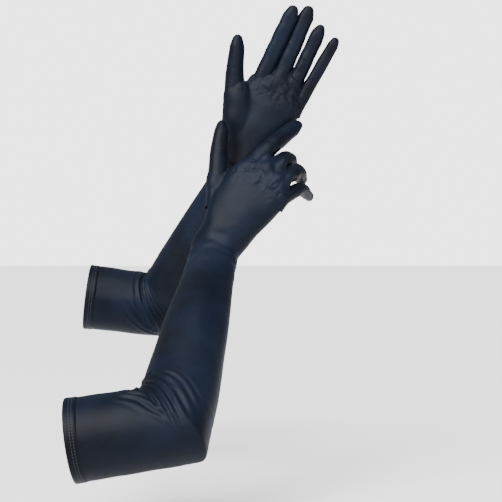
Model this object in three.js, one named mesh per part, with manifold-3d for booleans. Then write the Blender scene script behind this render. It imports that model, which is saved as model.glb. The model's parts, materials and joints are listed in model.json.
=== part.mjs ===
// A pair of opera gloves in stretch satin, shaped as worn: the left hand raised with its palm to the
// front, the right hand laid over the left wrist. Sizes are in millimetres and +Z is up. The origin is
// the centre of the right glove's wrist.
//
// Each glove is cut from a front and a back panel sewn down both sides, with a thumb and four fingers
// set in and a turned hem at the opening. It folds at the elbow, the wrist and two places on each digit,
// so the panels are divided there. Every tube lies along its own +Z, from the fold nearer the opening.

import * as THREE from 'three';
import { mergeVertices } from 'three/addons/utils/BufferGeometryUtils.js';
import Module from 'manifold-3d';

const wasm = await Module();
wasm.setup();

// The cloth and the gaps between pieces
const CLOTH = 1.0;
const SEAM_GAP = 0.3;
const FOLD_GAP = 0.6;
const NEST_GAP = 0.5;
const WRIST_NEST_GAP = 1.7;

// The sleeve
const HEM_DEPTH = 10;
const HEM_THICKNESS = 2.2;
const UPPER_LENGTH = 78;
const FOREARM_LENGTH = 222;
const OPENING_RADIUS = 36.5;
const ELBOW_RADIUS = 37;
const FOREARM_BULGE_AT = 60;
const FOREARM_HALF_WIDTH = 33.5;
const FOREARM_HALF_DEPTH = 32;
const WRIST_HALF_WIDTH = 25.5;
const WRIST_HALF_DEPTH = 19.5;
const ELBOW_FOLD = 108;
const WRIST_FOLD = 72;

// The hand, along from the wrist and across from its middle line, positive towards the little finger
const HAND_STATIONS = [
  { z: 28, width: 28, depth: 17, shift: -1, square: 2.2 },
  { z: 52, width: 32.5, depth: 16, shift: -2.5, square: 2.5 },
  { z: 80, width: 35.5, depth: 14.5, shift: 0.8, square: 2.9 },
  { z: 100, width: 35.5, depth: 13.5, shift: 1.2, square: 3 },
];
const FINGER_FOLD = 96;
const DIGIT_LIP = 16;
const ELBOW_LIP = 14;
const WRIST_LIP = 20;
const PAD_AT = 0.3;
const TIP_FLATNESS = 0.85;
const TIP_LENGTH = 1.5;
const WEB_HALF_WIDTH = 3;
const WEB_SLOPE = 1.6;

// Each digit: where its fold lies in the hand, the lengths of its two parts and its radii
const DIGITS = {
  index: { along: 84, across: -18.4, lean: 2.4, lower: 37, upper: 52, radius: 8.4, tip: 6.6 },
  middle: { along: 98, across: -0.6, lean: 0.4, lower: 38, upper: 43, radius: 8.4, tip: 6.6 },
  ring: { along: 95, across: 15.8, lean: 2.4, lower: 34, upper: 37, radius: 7.6, tip: 6.2 },
  little: { along: 80, across: 28.4, lean: 7, lower: 30, upper: 50, radius: 6.3, tip: 5.4 },
};
const THUMB = { along: 46, across: -31, front: 4, roll: 30, lower: 44, upper: 37, radius: 10.4, tip: 8 };
const THUMB_FORWARD = 0.05;
const THUMB_SWING = [-16, -4, 8, 20];

// How each glove is held: directions of its parts at rest, and the bend of each digit in degrees
const POSTURE = {
  left: {
    side: 1,
    wrist: [28, 65, 89],
    upperArm: [0.985, 0.06, -0.12],
    forearm: [0.42, -0.59, 0.69],
    hand: [0.39, 0, 0.92],
    back: [0, 1, 0],
    thumbLean: 21,
    bend: { thumb: [0, 4], index: [6, 5], middle: [4, 5], ring: [5, 5], little: [3, 6] },
    slide: { name: 'gloves_apart', axis: [0, 1, 0], slide: [0, 200] },
    elbowRange: [-70, 22],
    wristRange: [-4, 24],
    thumbRange: [-8, 14],
    fingerRange: () => [-10, 70],
    followRatio: 0.9,
  },
  right: {
    side: -1,
    wrist: [0, 0, 0],
    upperArm: [0.985, 0.02, 0.15],
    forearm: [0.143, 0.723, 0.679],
    hand: [0.56, 0.03, 0.83],
    back: [-0.2, -0.95, 0.2],
    thumbLean: 34,
    bend: { thumb: [0, 4], index: [22, 16], middle: [56, 40], ring: [56, 40], little: [48, 40] },
    elbowRange: [-67, 24],
    wristRange: [-2, 20],
    thumbRange: [-14, 1],
    fingerRange: (bend) => [-bend, 3],
    followRatio: 0.7,
  },
};

// Colours of the satin: a blue-black, a little lighter where it is stretched
const SATIN = { color: 0x1b2130, roughness: 0.42, metalness: 0 };
const SATIN_LIGHT = { color: 0x262d3f, roughness: 0.38, metalness: 0 };

const rad = THREE.MathUtils.degToRad;
const vector = (list) => new THREE.Vector3(...list);

function named(name, geometry, finish) {
  const mesh = new THREE.Mesh(geometry, new THREE.MeshStandardMaterial(finish));
  mesh.name = name;
  return mesh;
}

// A turn that lays +Z along a direction and +Y as near as it can to a second one.
function facing(along, back) {
  const z = along.clone().normalize();
  const x = back.clone().cross(z).normalize();
  return new THREE.Quaternion().setFromRotationMatrix(new THREE.Matrix4().makeBasis(x, z.clone().cross(x), z));
}

// The section of a tube at a height, eased between its stations.
function sectionAt(stations, z) {
  let k = 0;
  while (k < stations.length - 2 && z > stations[k + 1].z) k += 1;
  const [a, b] = [stations[k], stations[k + 1]];
  const t = THREE.MathUtils.smoothstep(z, a.z, b.z);
  const mix = (key, start) => THREE.MathUtils.lerp(a[key] ?? start, b[key] ?? start, t);
  return { width: mix('width'), depth: mix('depth'), shift: mix('shift', 0), square: mix('square', 2) };
}

// The point of a section at an angle from its back, drawn in by the cloth for the inner wall.
function rim(section, angle, inset, scale = 1) {
  const power = 2 / section.square;
  const bow = (value) => Math.sign(value) * Math.abs(value) ** power;
  return new THREE.Vector2(
    section.shift + scale * (section.width - inset) * bow(Math.sin(angle)),
    scale * (section.depth - inset) * bow(Math.cos(angle)),
  );
}

// A hollow tube of cloth. At a fold both pieces are cut to a plane through the fold's axis on the inside
// of the bend. On its outside the far piece curls on round the axis, as a lip inside the nearer piece.
function clothTube({ length, stations, near, far, tip, rows, sides, end = () => length }) {
  const profile = [];
  for (let k = 0; k <= rows; k += 1) profile.push(new THREE.Vector2(0.5, k / rows));
  for (let k = rows; k >= 0; k -= 1) profile.push(new THREE.Vector2(1, k / rows));
  profile.push(profile[0].clone());
  const geometry = new THREE.LatheGeometry(profile, sides);
  const points = geometry.attributes.position;
  const point = new THREE.Vector3();
  for (let k = 0; k < points.count; k += 1) {
    point.fromBufferAttribute(points, k);
    const inner = Math.hypot(point.x, point.z) < 0.75;
    const angle = Math.atan2(point.x, point.z);
    const t = tip ? Math.sin((point.y * Math.PI) / 2) : point.y;
    const mouth = rim(sectionAt(stations, 0), angle, 0);
    const root = rim(sectionAt(stations, length), angle, 0);
    const inside = near ? -mouth.dot(near.crook) : 0;
    const outside = far ? -root.dot(far.crook) : 0;
    const low = near ? (inside > 0 ? -inside * rad(near.lip) : FOLD_GAP - inside * Math.tan(rad(near.fold / 2))) : 0;
    const cut = far && outside < 0 ? FOLD_GAP - outside * Math.tan(rad(far.fold / 2)) : 0;
    const z = THREE.MathUtils.lerp(low, end(root.x) - cut, t);
    const cap = tip ? Math.sqrt(Math.max(0, 1 - Math.max(0, (z - length + tip) / tip) ** 2)) : 1;
    const flat = rim(sectionAt(stations, Math.max(z, 0)), angle, inner ? CLOTH : 0, cap);
    if (z < 0) {
      // Curl the lip round the fold's axis, which is square to the crook.
      const curl = -z / inside;
      const reach = -flat.dot(near.crook);
      flat.addScaledVector(near.crook, reach * (1 - Math.cos(curl)));
      points.setXYZ(k, flat.x, flat.y, -reach * Math.sin(curl));
    } else {
      points.setXYZ(k, flat.x, flat.y, tip && inner ? z * (1 - CLOTH / length) : z);
    }
  }
  return geometry;
}

function solid(geometry) {
  const bare = geometry.clone();
  bare.deleteAttribute('normal');
  bare.deleteAttribute('uv');
  const merged = mergeVertices(bare, 1e-4);
  return new wasm.Manifold(
    new wasm.Mesh({
      numProp: 3,
      vertProperties: new Float32Array(merged.attributes.position.array),
      triVerts: new Uint32Array(merged.index.array),
    }),
  );
}

function surface(body) {
  const mesh = body.getMesh();
  const geometry = new THREE.BufferGeometry();
  geometry.setAttribute('position', new THREE.BufferAttribute(new Float32Array(mesh.vertProperties), 3));
  geometry.setIndex(new THREE.BufferAttribute(new Uint32Array(mesh.triVerts), 1));
  geometry.computeVertexNormals();
  return geometry;
}

// The main piece of a cut body, without the offcuts.
function largest(body) {
  return body.decompose().reduce((best, piece) => (piece.volume() > best.volume() ? piece : best));
}

// Divides a tube down both side seams into its back and front panels.
function panels(tube, backName, frontName) {
  const back = largest(tube.trimByPlane([0, 1, 0], SEAM_GAP / 2));
  const front = largest(tube.trimByPlane([0, -1, 0], SEAM_GAP / 2));
  return [named(backName, surface(back), SATIN), named(frontName, surface(front), SATIN)];
}

// The inside of a bend, across the piece before the fold and across the piece after it.
const crookBefore = (before, after) => after.clone().addScaledVector(before, -before.dot(after)).normalize();
const crookAfter = (before, after) => before.clone().negate().addScaledVector(after, before.dot(after)).normalize();

function flatten(direction, turn) {
  const local = direction.clone().applyQuaternion(turn.clone().invert());
  return new THREE.Vector2(local.x, local.y).normalize();
}

// A group that turns about its own X axis where it stands, or slides along a row axis.
function moving(body, joint, ...meshes) {
  const group = new THREE.Group();
  group.userData = { body, joint };
  if (meshes.length) group.add(...meshes);
  return group;
}

function upperSleeve(prefix, pose) {
  const stations = [
    { z: 0, width: OPENING_RADIUS, depth: OPENING_RADIUS - CLOTH },
    { z: UPPER_LENGTH, width: ELBOW_RADIUS, depth: ELBOW_RADIUS },
  ];
  const far = { crook: new THREE.Vector2(0, -1), fold: ELBOW_FOLD };
  const tube = clothTube({ length: UPPER_LENGTH, stations, far, rows: 3, sides: 20 });
  tube.translate(0, 0, -UPPER_LENGTH);
  const body = `${prefix}_upper_sleeve`;
  const joint = { name: `${prefix}_elbow`, range: pose.elbowRange };
  return moving(body, joint, ...panels(solid(tube), `${body}_back`, `${body}_front`), hem(prefix));
}

// The opening's turned hem: two layers of cloth with a flat edge.
function hem(prefix) {
  const outer = OPENING_RADIUS + (HEM_THICKNESS - CLOTH) / 2;
  const inner = outer - HEM_THICKNESS;
  const outline = [[inner, 0], [outer, 0], [outer, HEM_DEPTH], [inner, HEM_DEPTH], [inner, 0]];
  const ring = new THREE.LatheGeometry(outline.map(([r, z]) => new THREE.Vector2(r, z)), 24);
  ring.rotateX(Math.PI / 2);
  ring.scale(1, (OPENING_RADIUS - CLOTH) / OPENING_RADIUS, -1);
  ring.index.array.reverse();
  ring.translate(0, 0, -UPPER_LENGTH - SEAM_GAP);
  return named(`${prefix}_hem`, ring, SATIN_LIGHT);
}

function forearmSleeve(prefix, elbowCrook, wristCrook) {
  const nested = ELBOW_RADIUS - CLOTH - NEST_GAP;
  const stations = [
    { z: 0, width: nested, depth: nested },
    { z: FOREARM_BULGE_AT, width: FOREARM_HALF_WIDTH, depth: FOREARM_HALF_DEPTH },
    { z: FOREARM_LENGTH, width: WRIST_HALF_WIDTH, depth: WRIST_HALF_DEPTH },
  ];
  const near = { crook: elbowCrook, fold: ELBOW_FOLD, lip: ELBOW_FOLD - ELBOW_LIP };
  const far = { crook: wristCrook, fold: WRIST_FOLD };
  const tube = clothTube({ length: FOREARM_LENGTH, stations, near, far, rows: 8, sides: 20 });
  return panels(solid(tube), `${prefix}_forearm_back`, `${prefix}_forearm_front`);
}

// The far edge of the hand keeps clear of every finger that folds down past it.
function handEdge(side, across) {
  const outside = (digit) => Math.abs(side * across - digit.across) - digit.radius - WEB_HALF_WIDTH;
  const reach = (digit) => digit.along + WEB_SLOPE * Math.max(0, outside(digit));
  return Math.min(...Object.values(DIGITS).map(reach));
}

function hand(prefix, pose, wristCrook) {
  const lip = {
    z: 0,
    width: WRIST_HALF_WIDTH - CLOTH - WRIST_NEST_GAP,
    depth: WRIST_HALF_DEPTH - CLOTH - WRIST_NEST_GAP,
  };
  const stations = [lip, ...HAND_STATIONS].map((s) => ({ ...s, shift: pose.side * (s.shift ?? 0) }));
  const length = HAND_STATIONS.at(-1).z;
  const shell = clothTube({
    length,
    stations,
    near: { crook: wristCrook, fold: WRIST_FOLD, lip: WRIST_FOLD - WRIST_LIP },
    far: { crook: new THREE.Vector2(0, -1), fold: FINGER_FOLD },
    rows: 7,
    sides: 24,
    end: (across) => handEdge(pose.side, across),
  });
  let body = solid(shell);
  // Clear the thumb through its whole swing.
  const root = thumbFrame(pose);
  for (const swing of THUMB_SWING) {
    const clear = new THREE.CapsuleGeometry(THUMB.radius + NEST_GAP + 0.5, THUMB.lower + THUMB.upper, 3, 12);
    clear.rotateX(Math.PI / 2);
    clear.translate(0, 0, (THUMB.lower + THUMB.upper) / 2);
    clear.rotateX(rad(swing));
    clear.applyQuaternion(root.turn);
    clear.translate(...root.place);
    body = body.subtract(solid(clear));
  }
  return panels(body, `${prefix}_hand_back`, `${prefix}_hand_palm`);
}

// Where the thumb is set in, with its inside bend turned towards the palm and the index finger.
function thumbFrame(pose) {
  const lean = rad(pose.thumbLean);
  const roll = rad(THUMB.roll);
  const along = new THREE.Vector3(-pose.side * Math.sin(lean), -THUMB_FORWARD, Math.cos(lean));
  const back = new THREE.Vector3(-pose.side * Math.cos(roll), Math.sin(roll), 0);
  return { turn: facing(along, back), place: [pose.side * THUMB.across, -THUMB.front, THUMB.along] };
}

// A digit: two tubes that bend the same way, the upper one closed at its tip.
function digit(prefix, name, size, pose, bend) {
  const crook = new THREE.Vector2(0, -1);
  const fold = { crook, fold: FINGER_FOLD, lip: FINGER_FOLD - DIGIT_LIP };
  const knuckle = (size.radius + size.tip) / 2 + CLOTH / 2;
  const inner = knuckle - CLOTH - NEST_GAP;
  const lower = clothTube({
    length: size.lower,
    stations: [
      { z: 0, width: size.radius, depth: size.radius },
      { z: size.lower, width: knuckle, depth: knuckle },
    ],
    near: fold,
    far: fold,
    rows: 3,
    sides: 10,
  });
  const upper = clothTube({
    length: size.upper,
    stations: [
      { z: 0, width: inner, depth: inner },
      { z: size.upper * PAD_AT, width: (inner + size.tip) / 2, depth: (inner + size.tip) / 2 },
      { z: size.upper, width: size.tip, depth: size.tip * TIP_FLATNESS },
    ],
    near: fold,
    tip: size.tip * TIP_LENGTH,
    rows: 5,
    sides: 10,
  });
  const body = `${prefix}_${name}`;
  const range = name === 'thumb' ? pose.thumbRange : pose.fingerRange(bend[0]);
  const first = moving(`${body}_lower`, { name: `${body}_base`, range }, named(`${body}_lower`, lower, SATIN));
  const follow = { name: `${body}_middle`, follows: `${body}_base`, ratio: pose.followRatio };
  const second = moving(`${body}_upper`, follow, named(`${body}_upper`, upper, SATIN_LIGHT));
  first.rotateX(rad(bend[0]));
  second.rotation.x = rad(bend[1]);
  second.position.z = size.lower;
  first.add(second);
  return first;
}

// One glove, built outwards from its forearm.
function glove(prefix, pose) {
  const [upper, fore, along, back] = [pose.upperArm, pose.forearm, pose.hand, pose.back].map((list) =>
    vector(list).normalize(),
  );
  const foreTurn = facing(fore, back);
  const upperTurn = facing(upper, crookBefore(upper, fore).negate());
  const handTurn = facing(along, back);
  const elbowCrook = flatten(crookAfter(upper, fore), foreTurn);
  const wristBefore = flatten(crookBefore(fore, along), foreTurn);
  const wristAfter = flatten(crookAfter(fore, along), handTurn);

  const forearm = moving(`${prefix}_forearm`, pose.slide, ...forearmSleeve(prefix, elbowCrook, wristBefore));
  forearm.quaternion.copy(foreTurn);
  forearm.position.copy(vector(pose.wrist)).addScaledVector(fore, -FOREARM_LENGTH);

  const sleeve = upperSleeve(prefix, pose);
  sleeve.quaternion.copy(foreTurn).invert().multiply(upperTurn);
  forearm.add(sleeve);

  // The wrist turns about the axis of its own bend, and the hand sits in that group.
  const wristTurn = facing(fore, crookBefore(fore, along).negate());
  const wrist = moving(`${prefix}_hand`, { name: `${prefix}_wrist`, range: pose.wristRange });
  wrist.quaternion.copy(foreTurn).invert().multiply(wristTurn);
  wrist.position.z = FOREARM_LENGTH;
  forearm.add(wrist);
  const palm = new THREE.Group();
  palm.quaternion.copy(wristTurn).invert().multiply(handTurn);
  palm.add(...hand(prefix, pose, wristAfter));
  wrist.add(palm);

  for (const [name, size] of Object.entries(DIGITS)) {
    const seat = new THREE.Group();
    seat.position.set(pose.side * size.across, 0, size.along);
    seat.rotation.y = pose.side * rad(size.lean);
    seat.add(digit(prefix, name, size, pose, pose.bend[name]));
    palm.add(seat);
  }
  const root = thumbFrame(pose);
  const thumb = digit(prefix, 'thumb', THUMB, pose, pose.bend.thumb);
  const seat = new THREE.Group();
  seat.quaternion.copy(root.turn);
  seat.position.set(...root.place);
  seat.add(thumb);
  palm.add(seat);
  return forearm;
}

const gloves = new THREE.Group();
gloves.add(glove('left', POSTURE.left), glove('right', POSTURE.right));

export default gloves;
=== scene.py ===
import json
import math

import bmesh
import bpy
import numpy as np
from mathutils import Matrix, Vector


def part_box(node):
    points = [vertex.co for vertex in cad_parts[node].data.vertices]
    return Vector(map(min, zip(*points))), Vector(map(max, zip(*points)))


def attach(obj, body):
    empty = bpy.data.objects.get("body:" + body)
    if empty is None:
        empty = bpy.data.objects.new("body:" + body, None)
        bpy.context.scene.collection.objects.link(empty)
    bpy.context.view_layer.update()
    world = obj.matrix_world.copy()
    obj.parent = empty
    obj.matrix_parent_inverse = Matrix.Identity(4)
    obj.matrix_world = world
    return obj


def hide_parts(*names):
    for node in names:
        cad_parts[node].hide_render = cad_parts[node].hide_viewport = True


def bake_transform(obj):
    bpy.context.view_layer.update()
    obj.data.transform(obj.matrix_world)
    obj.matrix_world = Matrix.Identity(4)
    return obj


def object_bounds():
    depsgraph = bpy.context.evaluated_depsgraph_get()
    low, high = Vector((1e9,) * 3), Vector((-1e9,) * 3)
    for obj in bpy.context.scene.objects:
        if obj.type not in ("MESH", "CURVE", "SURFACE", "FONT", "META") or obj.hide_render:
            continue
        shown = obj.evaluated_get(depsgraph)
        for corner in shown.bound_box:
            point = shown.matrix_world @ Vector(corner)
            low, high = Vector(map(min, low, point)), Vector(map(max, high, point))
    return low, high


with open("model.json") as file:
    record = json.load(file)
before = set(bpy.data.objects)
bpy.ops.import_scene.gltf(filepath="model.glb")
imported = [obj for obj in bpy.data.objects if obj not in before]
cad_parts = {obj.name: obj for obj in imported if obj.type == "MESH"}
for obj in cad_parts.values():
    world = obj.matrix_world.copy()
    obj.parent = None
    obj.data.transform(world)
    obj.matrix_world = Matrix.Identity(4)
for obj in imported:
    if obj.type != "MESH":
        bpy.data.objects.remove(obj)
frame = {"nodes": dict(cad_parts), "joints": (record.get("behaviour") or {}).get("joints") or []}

cad_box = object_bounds()
bpy.ops.object.select_all(action="DESELECT")

# ---- The satin ----
# Stretch satin: a knitted back with long floating threads on its face, dyed blue-black. The floats run
# along the arm, so the cloth has a soft sheen; its colour is also mottled at random into paler blue patches
# of painted sheen.
MM = 0.001
WEAVE_PITCH = 0.45 * MM
BUMP_DEPTH = 0.12 * MM
INK = (0.0006, 0.0008, 0.0018, 1)
# The pale end of the satin's base colour: painted sheen.
PAINTED_SHEEN_BLUE = (0.0032, 0.0058, 0.0135, 1)


class Link:
    """A socket that can be added to, scaled and compared like a number."""

    def __init__(self, tree, socket):
        self.tree = tree
        self.socket = socket

    def maths(self, operation, *values):
        node = self.tree.nodes.new("ShaderNodeMath")
        node.operation = operation
        for place, value in zip(node.inputs, values):
            if isinstance(value, Link):
                self.tree.links.new(value.socket, place)
            else:
                place.default_value = value
        return Link(self.tree, node.outputs[0])

    def __add__(self, other):
        return self.maths("ADD", self, other)

    def __sub__(self, other):
        return self.maths("SUBTRACT", self, other)

    def __rsub__(self, other):
        return self.maths("SUBTRACT", other, self)

    def __mul__(self, other):
        return self.maths("MULTIPLY", self, other)

    __radd__ = __add__
    __rmul__ = __mul__


class Cloth:
    """A material being built, one node at a time."""

    def __init__(self, name):
        self.material = bpy.data.materials.new(name)
        self.material.use_nodes = True
        self.tree = self.material.node_tree
        self.shader = self.tree.nodes["Principled BSDF"]

    def node(self, kind, settings=None, output=0, **values):
        made = self.tree.nodes.new(kind)
        for key, value in (settings or {}).items():
            setattr(made, key, value)
        for key, value in values.items():
            place = made.inputs[key.replace("_", " ")]
            if isinstance(value, Link):
                self.tree.links.new(value.socket, place)
            else:
                place.default_value = value
        return Link(self.tree, made.outputs[output])

    def feed(self, **values):
        for key, value in values.items():
            place = self.shader.inputs[key.replace("_", " ")]
            if isinstance(value, Link):
                self.tree.links.new(value.socket, place)
            else:
                place.default_value = value


def satin(name, pale, rough):
    """A blue-black satin, a little paler or rougher from piece to piece."""
    cloth = Cloth(name)
    place = cloth.node("ShaderNodeTexCoord", output="Object")
    # Broad noise that lays the painted sheen on in random patches.
    painted_sheen_mottle = cloth.node("ShaderNodeTexNoise", Vector=place, Scale=14.0, Detail=3.0, Roughness=0.5)
    fine = cloth.node("ShaderNodeTexNoise", Vector=place, Scale=170.0, Detail=4.0, Roughness=0.6)
    slub = cloth.node("ShaderNodeTexNoise", Vector=place, Scale=1400.0, Detail=2.0, Roughness=0.5)
    threads = cloth.node(
        "ShaderNodeTexWave",
        {"wave_type": "BANDS", "bands_direction": "DIAGONAL"},
        output="Fac",
        Vector=place,
        Scale=0.05 / WEAVE_PITCH,
        Distortion=1.2,
        Detail=1.0,
        Detail_Scale=3.0,
    )
    # The base colour runs between ink and the pale blue of painted sheen, in broad random patches; the fine
    # noise and the threads add the cloth's own uneven tone.
    tint = cloth.node("ShaderNodeMix", {"data_type": "RGBA"}, output=2, **{
        "Factor": (painted_sheen_mottle - 0.5) * 2 + pale * 0.6 + (fine - 0.5) * 0.35 + threads * 0.06,
    })
    mix = tint.socket.node
    mix.inputs[6].default_value = INK
    mix.inputs[7].default_value = PAINTED_SHEEN_BLUE
    height = threads * 0.6 + slub * 0.5 + fine * 0.35
    bump = cloth.node("ShaderNodeBump", output="Normal", Height=height, Strength=0.22, Distance=BUMP_DEPTH)
    cloth.feed(
        Base_Color=tint,
        Roughness=rough + fine * 0.1 + slub * 0.06,
        Normal=bump,
        IOR=1.16,
        Specular_IOR_Level=0.5,
        Anisotropic=0.3,
        Sheen_Weight=0.015,
        Sheen_Roughness=0.4,
        Sheen_Tint=(0.52, 0.6, 0.85, 1),
    )
    return cloth.material


panel_satin = satin("panel_satin", 0.8, 0.42)
digit_satin = satin("digit_satin", 0.8, 0.41)
hem_satin = satin("hem_satin", 0.55, 0.4)

# ---- The sleeves and hands ----
# Each glove's front and back panels run from the opening to the knuckles and are sewn together down both
# sides. The cloth hugs the arm, gathers in rays at the inside of the elbow and wrinkles at the wrist.
joints = {joint["name"]: joint for joint in frame["joints"]}
OPENING_RADIUS = 36.3 * MM
FORM_GRID = 1.3 * MM
FORM_SIDES = 64
FORM_SMOOTHING = 22
FOLD_SMOOTHING = 1
HEM_OVERLAP = 3 * MM
SLEEVE_SHARE = 0.52
ELBOW_BLEND = 34 * MM
WRIST_BLEND = 22 * MM
SLEEVE_FLAT = (0.235, 0.21)
HAND_FLAT = (0.22, 0.27)


def spot(name):
    return Vector(joints[name]["pos_m"])


def turning(name):
    return Vector(joints[name]["axis"]).normalized()


def middle_of(node):
    low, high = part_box(node)
    return (Vector(low) + Vector(high)) / 2


def ring(centre, wide, deep, half_width, half_depth, square=2.0, sides=32):
    """The points round one section of a limb."""
    points = []
    for k in range(sides):
        turn = 2 * math.pi * k / sides
        across, through = math.sin(turn), math.cos(turn)
        power = 2 / square
        across = math.copysign(abs(across) ** power, across)
        through = math.copysign(abs(through) ** power, through)
        points.append(centre + wide * (half_width * across) + deep * (half_depth * through))
    return points


def skin(shape, rings):
    """A closed tube through a list of rings."""
    loops = [[shape.verts.new(point) for point in points] for points in rings]
    for low, high in zip(loops, loops[1:]):
        for k in range(len(low)):
            m = (k + 1) % len(low)
            shape.faces.new((low[k], low[m], high[m], high[k]))
    shape.faces.new(tuple(reversed(loops[0])))
    shape.faces.new(tuple(loops[-1]))


def ball(shape, centre, axes, radii):
    """An egg-shaped swelling, such as the heel of the thumb."""
    made = bmesh.ops.create_icosphere(shape, subdivisions=4, radius=1)["verts"]
    for vert in made:
        x, y, z = vert.co
        vert.co = centre + axes[0] * (x * radii[0]) + axes[1] * (y * radii[1]) + axes[2] * (z * radii[2])


def ease(value, low, high):
    t = np.clip((value - low) / (high - low), 0, 1)
    return t * t * (3 - 2 * t)


def ripple(points, pitch, seed):
    """Smooth uneven waves, the same every time, from minus one to one."""
    rng = np.random.default_rng(seed)
    total = np.zeros(len(points))
    for _ in range(9):
        way = rng.normal(size=3)
        way *= rng.uniform(0.6, 1.5) / (np.linalg.norm(way) * pitch)
        total += np.sin(points @ way * 2 * math.pi + rng.uniform(0, 6.28))
    return total / 4.5


def limbs(side):
    """The places and directions of one glove's parts, from its joints."""
    part = {}
    part["elbow"] = spot(f"{side}_elbow")
    part["wrist"] = spot(f"{side}_wrist")
    part["fore"] = (part["wrist"] - part["elbow"]).normalized()
    part["upper"] = (part["elbow"] - middle_of(f"{side}_hem")).normalized()
    part["hinge"] = turning(f"{side}_elbow")
    part["crook"] = (part["fore"] - part["upper"]).normalized()
    part["along"] = (spot(f"{side}_middle_base") - part["wrist"]).normalized()
    part["across"] = turning(f"{side}_middle_base") * (1 if side == "left" else -1)
    part["back"] = part["along"].cross(turning(f"{side}_middle_base")).normalized()
    return part


def section(centre, way, start, wide, deep, half_width, half_depth, square=2.0, mitre=None):
    """The points round one section of the arm or hand, all begun on the same side of the limb.
    At a bend, the section is cut on the slant halfway between the two directions."""
    first = (start - way * start.dot(way)).normalized()
    second = way.cross(first)
    points = []
    for k in range(FORM_SIDES):
        turn = 2 * math.pi * k / FORM_SIDES
        out = first * math.cos(turn) + second * math.sin(turn)
        share = (abs(out.dot(wide)) / half_width) ** square + (abs(out.dot(deep)) / half_depth) ** square
        point = out * share ** (-1 / square)
        if mitre:
            point -= way * (point.dot(mitre) / way.dot(mitre))
        points.append(centre + point)
    return points


def arm_form(shape, part):
    """The whole sleeve and hand as one tube, from past the opening to the webs of the fingers."""
    elbow, wrist, fore, upper = part["elbow"], part["wrist"], part["fore"], part["upper"]
    hinge, back, across, along = part["hinge"], part["back"], part["across"], part["along"]
    out = upper.cross(hinge).normalized()
    level = (back - fore * back.dot(fore)).normalized()
    wide = fore.cross(level).normalized()
    length = (wrist - elbow).length / MM
    rings = []
    for z, radius in ((-100, 36.3), (-78, 36.3), (-52, 36), (-34, 36.2)):
        size = radius * MM
        rings.append(section(elbow + upper * (z * MM), upper, hinge, hinge, out, size, size))
    bend = (upper + fore).normalized()
    rings.append(section(elbow, upper, hinge, hinge, out, 35.4 * MM, 34.6 * MM, mitre=bend))
    for share, half_wide, half_deep in (
        (0.15, 34.6, 34),
        (0.3, 33.4, 32),
        (0.46, 31.4, 29.6),
        (0.62, 28.8, 26),
        (0.78, 26.4, 22),
        (0.92, 25, 19.6),
    ):
        centre = elbow + fore * (share * length * MM)
        rings.append(section(centre, fore, hinge, wide, level, half_wide * MM, half_deep * MM))
    slant = (fore + along).normalized()
    rings.append(section(wrist, along, hinge, across, back, 24.6 * MM, 18.8 * MM, mitre=slant))
    for z, shift, half_wide, half_deep, square in (
        (17, -0.5, 25.6, 18, 2.1),
        (30, -1.5, 28.8, 17.4, 2.2),
        (48, -2, 32.2, 16, 2.4),
        (66, 0.3, 33.8, 14.6, 2.5),
        (80, 1.6, 33.8, 12.8, 2.6),
        (90, 0.6, 29.5, 11, 2.5),
        (97, -0.5, 23, 9.2, 2.3),
    ):
        centre = wrist + along * (z * MM) + across * (shift * MM)
        rings.append(section(centre, along, hinge, across, back, half_wide * MM, half_deep * MM, square))
    skin(shape, rings)


def hand_form(shape, side, part):
    """The heel of the thumb and the webs between the digits, which fuse with the hand."""
    along, across, back = part["along"], part["across"], part["back"]
    thumb, bend = spot(f"{side}_thumb_base"), spot(f"{side}_thumb_middle")
    way = (bend - thumb).normalized()
    wide = way.cross(back).normalized()
    deep = wide.cross(way)
    heel = thumb + way * (2 * MM) + across * (5 * MM) - back * (2 * MM)
    ball(shape, heel, (wide, deep, way), (16 * MM, 12.5 * MM, 36 * MM))
    ball(shape, thumb + way * (14 * MM), (wide, deep, way), (11.8 * MM, 11.8 * MM, 22 * MM))
    index = spot(f"{side}_index_base")
    web = thumb.lerp(index, 0.5) + along * (1 * MM)
    ball(shape, web, (across, back, along), (12 * MM, 7 * MM, 16 * MM))
    names = ["index", "middle", "ring", "little"]
    for name, radius in zip(names, (9.3, 9.3, 8.5, 7.1)):
        root = spot(f"{side}_{name}_base")
        way = (spot(f"{side}_{name}_middle") - root).normalized()
        wide = way.cross(back).normalized()
        size = radius * MM
        ball(shape, root + way * (2 * MM), (wide, wide.cross(way), way), (size, size, size + 6 * MM))
    for first, second in zip(names, names[1:]):
        between = spot(f"{side}_{first}_base").lerp(spot(f"{side}_{second}_base"), 0.5)
        ball(shape, between + along * (5 * MM), (across, back, along), (6 * MM, 6.6 * MM, 15 * MM))


def bump(distance, spread):
    """A soft bump, one at the middle and falling away to either side."""
    return np.exp(-((distance / spread) ** 2))


def elbow_rays(points, part, sway, seed):
    """Rays that fan out from just outside the crook, closest together at the middle of the bend."""
    start, reach, spread = 40 * MM, 88 * MM, 38 * MM
    crook, hinge = np.array(part["crook"]), np.array(part["hinge"])
    source = np.array(part["elbow"]) + crook * 92 * MM
    ray = points - source
    turn = np.arctan2(ray @ (np.array(part["fore"]) + np.array(part["upper"])), -(ray @ crook))
    away = np.linalg.norm(ray - np.outer(ray @ hinge, hinge), axis=1)
    arc = turn + 0.3 * ease(away, 50 * MM, 130 * MM) ** 2
    comb = np.sin(arc * 52 + sway * 2.4 + 1.2)
    comb = np.sign(comb) * np.abs(comb) ** 0.75
    fan = ease(away, start, start + 14 * MM) * (1 - ease(away, reach, reach + spread))
    fan *= 1 - ease(np.abs(turn - 0.13), 0.22, 0.42)
    uneven = 0.75 + 0.45 * ripple(points, 30 * MM, seed + 1)
    rays = comb * fan * uneven * 1.7 * MM
    # A sharp pleat or two right in the crook.
    tight = bump(away - 50 * MM, 9 * MM) * (1 - ease(np.abs(turn), 0.2, 0.45))
    return rays, fan, tight * np.sin(turn * 30 + sway) * 1.1 * MM


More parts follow.
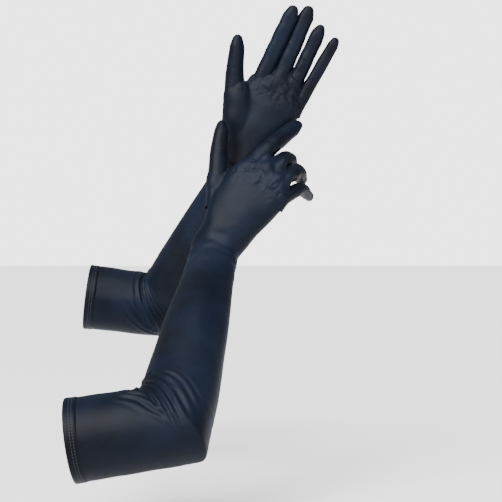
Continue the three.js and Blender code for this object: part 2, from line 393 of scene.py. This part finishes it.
def slanting_folds(points, part, fan, seed):
    """Two or three long folds that cross the upper sleeve and end at the point of the elbow."""
    pitch, slant = 8 * MM, math.radians(36)
    upper, hinge = np.array(part["upper"]), np.array(part["hinge"])
    outward = np.cross(np.array(part["upper"]), hinge)
    outward *= -np.sign(outward @ np.array(part["crook"]))
    from_elbow = points - np.array(part["elbow"])
    along_upper, down = from_elbow @ upper, from_elbow @ outward
    drift = ripple(points, 50 * MM, seed + 7) * 2.5 * MM
    over = -along_upper * math.sin(slant) + down * math.cos(slant) + drift
    run = along_upper * math.cos(slant) + down * math.sin(slant)
    band = bump(over - 6 * MM, 10 * MM) * ease(run, -52 * MM, -30 * MM) * (1 - ease(run, -2 * MM, 18 * MM))
    return np.sin(over * 2 * math.pi / pitch) * band * (1 - fan) * 1.8 * MM


def slack(points, part, seed):
    """Slanting slack along the upper sleeve and the forearm."""
    from_elbow, fore = points - np.array(part["elbow"]), np.array(part["fore"])
    drift = ripple(points + np.outer(from_elbow @ fore, fore) * -0.55, 42 * MM, seed + 2)
    long = ripple(points - np.outer(from_elbow @ fore, fore) * 0.8, 26 * MM, seed + 3)
    return drift * 0.45 * MM, long * ease(from_elbow @ fore, 40 * MM, 90 * MM) * 0.35 * MM


def wrist_rings(points, part, sway, seed):
    """Rings of slack just below the wrist."""
    reach = (points - np.array(part["wrist"])) @ np.array(part["fore"])
    band = bump(reach + 14 * MM, 20 * MM)
    uneven = 0.6 + 0.5 * ripple(points, 24 * MM, seed + 4)
    return band * np.sin(reach / (3.1 * MM) + sway * 2.2) * 0.8 * MM * uneven


def hand_wrinkles(points, part, seed):
    """Crossing wrinkles towards the knuckles, and broad ones in the palm."""
    high = (points - np.array(part["wrist"])) @ np.array(part["along"])
    knuckles = bump(high - 84 * MM, 13 * MM)
    off = knuckles * ripple(points, 13 * MM, seed + 5) * 0.6 * MM
    for number, pitch in ((10, 24), (11, 17)):
        off -= knuckles * bump(ripple(points, pitch * MM, seed + number), 0.13) * 0.9 * MM
    palm = ease(high, 18 * MM, 40 * MM) * (1 - ease(high, 84 * MM, 98 * MM))
    return off + palm * ripple(points, 34 * MM, seed + 6) * 0.5 * MM


def folds(points, side, part):
    """How far the cloth stands off its form: rays at the elbow, rings at the wrist, slack elsewhere."""
    seed = 3 if side == "left" else 8
    sway = ripple(points, 55 * MM, seed)
    rays, fan, pleats = elbow_rays(points, part, sway, seed)
    drift, long = slack(points, part, seed)
    off = rays + slanting_folds(points, part, fan, seed) + pleats + drift + long
    return off + wrist_rings(points, part, sway, seed) + hand_wrinkles(points, part, seed)


def read(mesh):
    points = np.zeros(len(mesh.vertices) * 3)
    normals = np.zeros(len(mesh.vertices) * 3)
    mesh.vertices.foreach_get("co", points)
    mesh.vertex_normals.foreach_get("vector", normals)
    return points.reshape(-1, 3), normals.reshape(-1, 3)


def shell_piece(name, points, faces, normals, material):
    """A mesh of the faces given, shaded with the normals of the whole cloth it was cut from."""
    used, order = np.unique(np.concatenate([np.array(face) for face in faces]), return_inverse=True)
    mesh = bpy.data.meshes.new(name)
    cuts = np.cumsum([len(face) for face in faces])[:-1]
    mesh.from_pydata(points[used].tolist(), [], [part.tolist() for part in np.split(order, cuts)])
    mesh.polygons.foreach_set("use_smooth", [True] * len(mesh.polygons))
    mesh.materials.append(material)
    mesh.update()
    mesh.normals_split_custom_set_from_vertices(normals[used].tolist())
    piece = bpy.data.objects.new(name, mesh)
    bpy.context.collection.objects.link(piece)
    return piece


def stretched(piece, width, length):
    """Works out a piece of worn cloth's area against the size it was cut to; the result is not used."""
    area = sum(face.area for face in piece.data.polygons)
    min(area, width * length)


def soften(form, times):
    even = form.modifiers.new("even", "SMOOTH")
    even.factor = 0.5
    even.iterations = times
    bpy.ops.object.modifier_apply(modifier="even")


def worn_form(side, part):
    """The hand and arm of one glove as one smooth, fused form with its folds raised on it."""
    shape = bmesh.new()
    arm_form(shape, part)
    hand_form(shape, side, part)
    bmesh.ops.recalc_face_normals(shape, faces=shape.faces)
    mesh = bpy.data.meshes.new(f"{side}_form")
    shape.to_mesh(mesh)
    shape.free()
    form = bpy.data.objects.new(f"{side}_form", mesh)
    bpy.context.collection.objects.link(form)
    bpy.context.view_layer.objects.active = form
    form.select_set(True)
    fuse = form.modifiers.new("fuse", "REMESH")
    fuse.mode = "VOXEL"
    fuse.voxel_size = FORM_GRID
    bpy.ops.object.modifier_apply(modifier="fuse")
    soften(form, FORM_SMOOTHING)
    points, normals = read(form.data)
    points += normals * folds(points, side, part)[:, None]
    form.data.vertices.foreach_set("co", points.ravel())
    form.data.update()
    soften(form, FOLD_SMOOTHING)
    return form


def sewn_openings(side, middles):
    """Where the hand is open, because a thumb or finger is sewn on there."""
    sewn = np.zeros(len(middles), bool)
    for name, radius in (("thumb", 8.4), ("index", 6.8), ("middle", 6.8), ("ring", 6), ("little", 4.8)):
        root = spot(f"{side}_{name}_base")
        way = np.array((spot(f"{side}_{name}_middle") - root).normalized())
        from_root = middles - np.array(root)
        rise = from_root @ way
        apart = np.linalg.norm(from_root - np.outer(rise, way), axis=1)
        sewn |= (apart < radius * MM) & (rise > 3 * MM) & (rise < 45 * MM)
    return sewn


def body_cloth(side):
    """One glove's cloth, divided across the forearm into the sleeve and the hand."""
    part = limbs(side)
    form = worn_form(side, part)
    points, normals = read(form.data)
    faces = [tuple(face.vertices) for face in form.data.polygons]
    middles = np.array([face.center for face in form.data.polygons])
    bpy.data.objects.remove(form)
    elbow, upper, fore = (np.array(part[key]) for key in ("elbow", "upper", "fore"))
    split = (part["wrist"] - part["elbow"]).length * SLEEVE_SHARE
    reach = (middles - elbow) @ fore
    rise = (middles - elbow) @ upper
    hem_start = -(middle_of(f"{side}_hem") - part["elbow"]).length + HEM_OVERLAP
    kept = rise > hem_start
    sleeve = [face for face, low, ok in zip(faces, reach < split, kept) if low and ok]
    sewn = sewn_openings(side, middles)
    hand = [face for face, high, cut in zip(faces, reach >= split, sewn) if high and not cut]
    piece = shell_piece(f"{side}_sleeve_panels", points, sleeve, normals, panel_satin)
    part["elbow"] + (part["fore"] + part["upper"]) * 0.5 * ELBOW_BLEND
    part["elbow"] - (part["fore"] + part["upper"]) * 0.5 * ELBOW_BLEND
    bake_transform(piece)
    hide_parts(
        f"{side}_upper_sleeve_back",
        f"{side}_upper_sleeve_front",
        f"{side}_forearm_back",
        f"{side}_forearm_front",
    )
    stretched(piece, *SLEEVE_FLAT)
    piece = shell_piece(f"{side}_hand_panels", points, hand, normals, panel_satin)
    part["wrist"] - part["fore"] * WRIST_BLEND
    part["wrist"] + part["along"] * WRIST_BLEND
    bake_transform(piece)
    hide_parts(f"{side}_hand_back", f"{side}_hand_palm")
    stretched(piece, *HAND_FLAT)


for side in ("left", "right"):
    body_cloth(side)

# ---- The thumbs and fingers ----
# A thumb or finger is a front and a back strip joined by narrow side strips, the fourchettes, so it has
# four sewn lines and a slightly square tip. The cloth wrinkles across where the digit bends.
DIGITS = ("thumb", "index", "middle", "ring", "little")
SIDES = 48
ROOT_LENGTH = 12 * MM
ROW_STEP = 1.1 * MM
SEAM_COLUMN = 7
SEAM_TURN = 2 * math.pi * SEAM_COLUMN / SIDES
SEAM_DEPTH = 0.28 * MM
ROOT_RADIUS = {"thumb": 11.6, "index": 9.0, "middle": 9.0, "ring": 8.2, "little": 6.8}
TIP_RADIUS = {"thumb": 7.4, "index": 7.6, "middle": 7.6, "ring": 6.9, "little": 5.6}


def along_path(corners, turns, s):
    """The place and direction at a length along a digit, whose bends are rounded."""
    rounded = 8 * MM
    lengths = [0, *turns]
    ways = [(far - near).normalized() for near, far in zip(corners, corners[1:])]
    for number, turn in enumerate(turns):
        if abs(s - turn) < rounded:
            u = (s - turn + rounded) / (2 * rounded)
            corner = corners[number + 1]
            start, end = corner - ways[number] * rounded, corner + ways[number + 1] * rounded
            place = start * (1 - u) ** 2 + corner * 2 * u * (1 - u) + end * u ** 2
            return place, ways[number].lerp(ways[number + 1], u).normalized()
    number = sum(s > turn for turn in turns)
    return corners[number] + ways[number] * (s - lengths[number]), ways[number]


def digit_rows(corners, turns, whole, axis, root_radius, tip_radius, thumb):
    """The rows of one digit's tube: place, directions, half widths and length along the digit."""
    count = int(whole / ROW_STEP)
    cap = tip_radius * 1.7
    rows = []
    for k in range(count + 1):
        # Rows gather towards the tip, where the tube closes.
        s = whole * (1 - (1 - k / count) ** 1.12)
        place, way = along_path(corners, turns, s)
        deep = way.cross(axis).normalized()
        fall = s / whole
        radius = root_radius + (tip_radius - root_radius) * (fall if thumb else fall ** 2.2)
        # The end narrows to a blunt point where the four strips meet.
        near = max(0.0, (s - (whole - cap)) / cap)
        close = (1 - 0.46 * near ** 1.25) * max(0.0, 1 - near ** 9) ** 0.5
        flat = 1 - 0.16 * ease(np.array(fall), 0.55, 1.0)
        rows.append((place, deep, radius * close, radius * close * flat, s))
    return rows


def digit_folds(points, stations, turns, whole, bend_at, seed):
    """How far a digit's cloth stands off its tube: sewn lines sink in, and creases cross the bends."""
    # The four sewn lines, two towards the back and two towards the front.
    folded = np.abs(((turns + math.pi / 2) % math.pi) - math.pi / 2)
    seam = np.exp(-(((folded - SEAM_TURN) / 0.085) ** 2))
    open_tip = 1 - ease(stations, whole - 3 * MM, whole)
    off = -seam * SEAM_DEPTH * open_tip
    # Wrinkles across the inside of each bend, and slack along the strips.
    inside = 0.5 - 0.5 * np.cos(turns)
    sway = ripple(points, 16 * MM, seed)
    for where, strength in ((bend_at, 0.8), (ROOT_LENGTH + 9 * MM, 1.3)):
        near = np.exp(-(((stations - where) / (6 * MM)) ** 2))
        crease = np.sin((stations - where) / (1.15 * MM) + sway * 5 + turns * 0.5 * np.sin(turns))
        off += near * crease * (0.5 + 0.5 * sway) * (0.1 + 0.25 * inside) * strength * MM
    return off + ripple(points, 15 * MM, seed + 2) * 0.35 * MM * open_tip


def opened_seam(points, normals, faces, count):
    """The strips meet edge to edge along one sewn line, so the cloth is open there."""
    columns = np.arange(count + 1) * SIDES + SEAM_COLUMN
    edge = {int(column): len(points) + row for row, column in enumerate(columns)}
    for row in range(count):
        place = row * SIDES + SEAM_COLUMN
        faces[place] = tuple(edge.get(corner, corner) for corner in faces[place])
    return np.concatenate([points, points[columns]]), np.concatenate([normals, normals[columns]])


def digit_cloth(side, name):
    """One digit as a single tube, divided into the lower and the upper piece."""
    base, bend = spot(f"{side}_{name}_base"), spot(f"{side}_{name}_middle")
    upper_node = frame["nodes"][f"{side}_{name}_upper"]
    tip = max((Vector(vert.co) for vert in upper_node.data.vertices), key=lambda point: (point - bend).length)
    axis = turning(f"{side}_{name}_base")
    first, second = (bend - base).normalized(), (tip - bend).normalized()
    thumb = name == "thumb"
    root_radius, tip_radius = ROOT_RADIUS[name] * MM, TIP_RADIUS[name] * MM
    # The tube starts inside the hand, along the hand, and turns with the digit where it is sewn on.
    into = first if thumb else limbs(side)["along"]
    root = base - into * ROOT_LENGTH
    lower_length, upper_length = ROOT_LENGTH + (bend - base).length, (tip - bend).length
    whole = lower_length + upper_length
    corners, bends = (root, base, bend, tip), (ROOT_LENGTH, lower_length)
    rows = digit_rows(corners, bends, whole, axis, root_radius, tip_radius, thumb)
    count = len(rows) - 1
    points = []
    for place, deep, half_wide, half_deep, _ in rows:
        points += ring(place, axis, deep, max(half_wide, 0.1 * MM), max(half_deep, 0.1 * MM), 2.25, SIDES)
    points = np.array(points)
    stations = np.repeat([row[-1] for row in rows], SIDES)
    turns = np.tile(np.arange(SIDES) * 2 * math.pi / SIDES, len(rows))
    outward = points - np.repeat(np.array([row[0] for row in rows]), SIDES, axis=0)
    outward /= np.maximum(np.linalg.norm(outward, axis=1), 1e-6)[:, None]
    seed = DIGITS.index(name) * 7 + (1 if side == "left" else 40)
    points += outward * digit_folds(points, stations, turns, whole, lower_length, seed)[:, None]
    faces = []
    for row in range(count):
        for k in range(SIDES):
            m = (k + 1) % SIDES
            a, b = row * SIDES, (row + 1) * SIDES
            faces.append((a + k, a + m, b + m, b + k))
    faces.append(tuple(range(count * SIDES, (count + 1) * SIDES)))
    mesh = bpy.data.meshes.new("whole_digit")
    mesh.from_pydata(points.tolist(), [], faces)
    mesh.update()
    _, normals = read(mesh)
    if np.mean(np.sum(normals * outward, axis=1)) < 0:
        faces = [tuple(reversed(face)) for face in faces]
        normals = -normals
    bpy.data.meshes.remove(mesh)
    points, normals = opened_seam(points, normals, faces, count)
    split = next(k for k, row in enumerate(rows) if row[-1] > lower_length - 0.42 * (bend - base).length)
    lower = shell_piece(f"{side}_{name}_lower_cloth", points, faces[: split * SIDES], normals, digit_satin)
    upper = shell_piece(f"{side}_{name}_upper_cloth", points, faces[split * SIDES :], normals, digit_satin)
    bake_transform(lower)
    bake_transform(upper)
    girth = 2 * math.pi * root_radius * 1.04
    for piece, half, reach in ((lower, "lower", lower_length), (upper, "upper", upper_length)):
        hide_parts(f"{side}_{name}_{half}")
        area = sum(face.area for face in piece.data.polygons)
        stretched(piece, girth, max(reach, area / girth * 1.01))


for side in ("left", "right"):
    for name in DIGITS:
        digit_cloth(side, name)

# ---- The hems ----
# The opening is turned in once and sewn with two rows of stitches, which hold the double cloth flat
# against the arm. The fold makes a round edge, and the stitching draws two shallow grooves.
HEM_SIDES = 120
STITCH_PITCH = 2.6 * MM


def hem_cloth(side):
    part = limbs(side)
    upper, hinge = part["upper"], part["hinge"]
    out = upper.cross(hinge).normalized()
    centre = middle_of(f"{side}_hem")
    half = 5 * MM
    profile = [
        (half + 1.5 * MM, 0.1), (half - 0.2 * MM, 0.75), (half - 1.6 * MM, 0.9), (half - 2.4 * MM, 0.72),
        (half - 3.2 * MM, 0.95), (half - 4.0 * MM, 1.0), (half - 4.9 * MM, 0.74), (half - 5.7 * MM, 1.0),
        (-half + 2.4 * MM, 1.1), (-half + 1 * MM, 1.05), (-half + 0.3 * MM, 0.8), (-half, 0.3),
        (-half + 0.3 * MM, -0.3), (-half + 1.2 * MM, -0.7), (0, -0.85), (half, -0.9), (half + 1.5 * MM, -0.6),
    ]
    points, faces = [], []
    for z, lift in profile:
        radius = OPENING_RADIUS + lift * MM
        points += ring(centre + upper * z, hinge, out, radius, radius - 0.5 * MM, 2.0, HEM_SIDES)
    count = len(profile)
    for row in range(count):
        for k in range(HEM_SIDES):
            m = (k + 1) % HEM_SIDES
            a, b = row * HEM_SIDES, ((row + 1) % count) * HEM_SIDES
            faces.append((a + k, a + m, b + m, b + k))
    points = np.array(points)
    mesh = bpy.data.meshes.new(f"{side}_hem_band")
    mesh.from_pydata(points.tolist(), [], faces)
    mesh.polygons.foreach_set("use_smooth", [True] * len(mesh.polygons))
    mesh.materials.append(hem_satin)
    band = bpy.data.objects.new(f"{side}_hem_band", mesh)
    bpy.context.collection.objects.link(band)
    shape = bmesh.new()
    shape.from_mesh(mesh)
    bmesh.ops.recalc_face_normals(shape, faces=shape.faces)
    shape.to_mesh(mesh)
    shape.free()
    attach(band, f"{side}_upper_sleeve")
    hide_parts(f"{side}_hem")
    # One stitch is a short bead of thread lying in its groove.
    shape = bmesh.new()
    number = int(2 * math.pi * OPENING_RADIUS / STITCH_PITCH)
    for z in (half - 2.4 * MM, half - 4.9 * MM):
        for k in range(number):
            turn = 2 * math.pi * k / number
            spoke = hinge * math.sin(turn) + out * math.cos(turn)
            along = hinge * math.cos(turn) - out * math.sin(turn)
            lift = spoke * (OPENING_RADIUS + 0.72 * MM)
            place = centre + upper * z + lift - out * (math.cos(turn) * 0.5 * MM)
            made = bmesh.ops.create_icosphere(shape, subdivisions=1, radius=1)["verts"]
            for vert in made:
                x, y, w = vert.co
                vert.co = place + along * (x * 0.95 * MM) + spoke * (y * 0.22 * MM) + upper * (w * 0.24 * MM)
    mesh = bpy.data.meshes.new(f"{side}_hem_stitches")
    shape.to_mesh(mesh)
    shape.free()
    mesh.polygons.foreach_set("use_smooth", [True] * len(mesh.polygons))
    mesh.materials.append(thread)
    stitch = bpy.data.objects.new(f"{side}_hem_stitches", mesh)
    bpy.context.collection.objects.link(stitch)
    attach(stitch, f"{side}_upper_sleeve")


def sewing_thread():
    """A matt black twisted thread."""
    cloth = Cloth("sewing_thread")
    place = cloth.node("ShaderNodeTexCoord", output="Object")
    twist = cloth.node("ShaderNodeTexNoise", Vector=place, Scale=2600.0, Detail=2.0)
    tint = cloth.node("ShaderNodeMix", {"data_type": "RGBA"}, output=2, Factor=twist)
    tint.socket.node.inputs[6].default_value = (0.007, 0.008, 0.012, 1)
    tint.socket.node.inputs[7].default_value = (0.026, 0.03, 0.042, 1)
    cloth.feed(Base_Color=tint, Roughness=0.55 + twist * 0.2)
    return cloth.material


thread = sewing_thread()
for side in ("left", "right"):
    hem_cloth(side)

# ---- The room ----
# A plain pale floor, soft light from the upper left and front, and the camera level
# with the wrists, where it looks at the raised hands.
CAMERA_PLACE = (35.7 * MM, -1190 * MM, -1 * MM)
low, high = (Vector(corner) for corner in cad_box)
bpy.ops.object.select_all(action="DESELECT")
bpy.ops.mesh.primitive_plane_add(size=24, location=(0, 6, low.z - 40 * MM))
floor = bpy.context.object
floor.name = "floor"
pale = Cloth("pale_floor")
place = pale.node("ShaderNodeTexCoord", output="Object")
pale.feed(
    Base_Color=(0.82, 0.82, 0.83, 1),
    Roughness=0.8 + pale.node("ShaderNodeTexNoise", Vector=place, Scale=3.0) * 0.1,
)
floor.data.materials.append(pale.material)

world = bpy.data.worlds.new("pale_room")
bpy.context.scene.world = world
world.use_nodes = True
sky = world.node_tree.nodes["Background"]
ray = world.node_tree.nodes.new("ShaderNodeLightPath")
glow = world.node_tree.nodes.new("ShaderNodeMapRange")
glow.inputs["To Min"].default_value = 0.4
glow.inputs["To Max"].default_value = 3.3
world.node_tree.links.new(ray.outputs["Is Camera Ray"], glow.inputs["Value"])
world.node_tree.links.new(glow.outputs[0], sky.inputs["Strength"])
sky.inputs["Color"].default_value = (1, 1, 1, 1)


def soft_light(name, place, aim, size, power):
    data = bpy.data.lights.new(name, "AREA")
    data.shape = "DISK"
    data.size = size
    data.energy = power
    lamp = bpy.data.objects.new(name, data)
    lamp.location = place
    lamp.rotation_euler = (Vector(aim) - Vector(place)).to_track_quat("-Z", "Y").to_euler()
    bpy.context.collection.objects.link(lamp)


soft_light("key_light", (-0.75, -1.0, 0.9), (0, 0, 0), 0.5, 16)
soft_light("fill_light", (0.9, -1.2, 0.2), (0, 0, 0), 0.9, 8)
sun_data = bpy.data.lights.new("ceiling_light", "SUN")
sun_data.energy = 11
sun_data.angle = math.radians(70)
sun = bpy.data.objects.new("ceiling_light", sun_data)
sun.rotation_euler = (math.radians(42), math.radians(-20), 0)
bpy.context.collection.objects.link(sun)

camera_data = bpy.data.cameras.new("camera")
camera_data.sensor_width = 36
camera_data.lens = 86.06
camera = bpy.data.objects.new("camera", camera_data)
camera.location = CAMERA_PLACE
camera.rotation_euler = (math.radians(90), 0, 0)
bpy.context.collection.objects.link(camera)
bpy.context.scene.camera = camera
